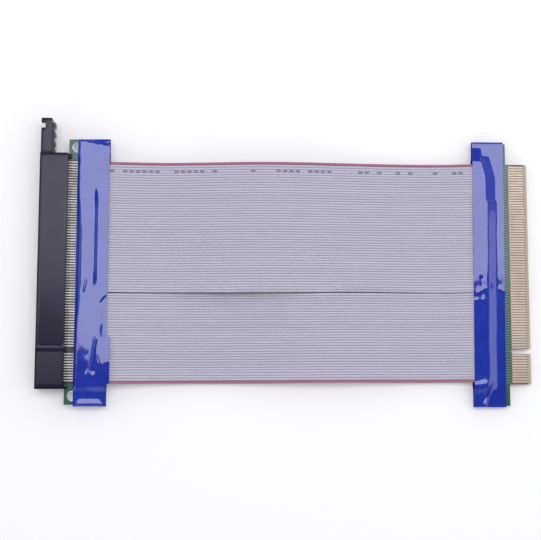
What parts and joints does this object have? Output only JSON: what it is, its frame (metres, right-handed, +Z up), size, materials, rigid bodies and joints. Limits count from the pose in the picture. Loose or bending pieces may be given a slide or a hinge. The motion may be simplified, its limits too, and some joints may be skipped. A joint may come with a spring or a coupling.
{
  "type": "gpu riser cable",
  "caption": "Graphics card riser: a keyed card slot with a latch and a card-edge plug, joined by two layers of flat ribbon cable taped at both boards.",
  "frame": {"origin": "on the table, below the middle of the whole cable as it lies flat", "axes": "+X from the card slot to the card-edge plug, +Y across the cable to the end with the latch, +Z up"},
  "size_m": [0.1874, 0.1094, 0.0075],
  "materials": {
    "housing_plastic": "satin black moulded plastic",
    "board_laminate": "green solder mask, semi-gloss",
    "bare_laminate": "bare glass laminate, at the bevel and the cut edges",
    "contact_gold": "pale gold plating, slightly dulled",
    "contact_tin": "bright tinned leads and solder",
    "ribbon_insulation": "satin grey cable insulation",
    "ribbon_marker": "dull red stripe of the edge wires",
    "tape_film": "glossy deep blue film tape"
  },
  "bodies": {
    "root": {"slot_housing": "housing_plastic", "socket_board": "board_laminate", "plug_board": "board_laminate", "ribbon_wide_upper": "ribbon_insulation", "ribbon_wide_lower": "ribbon_insulation", "ribbon_narrow_upper": "ribbon_insulation", "ribbon_narrow_lower": "ribbon_insulation", "socket_tape": "tape_film", "plug_tape": "tape_film"}
  },
  "joints": []
}
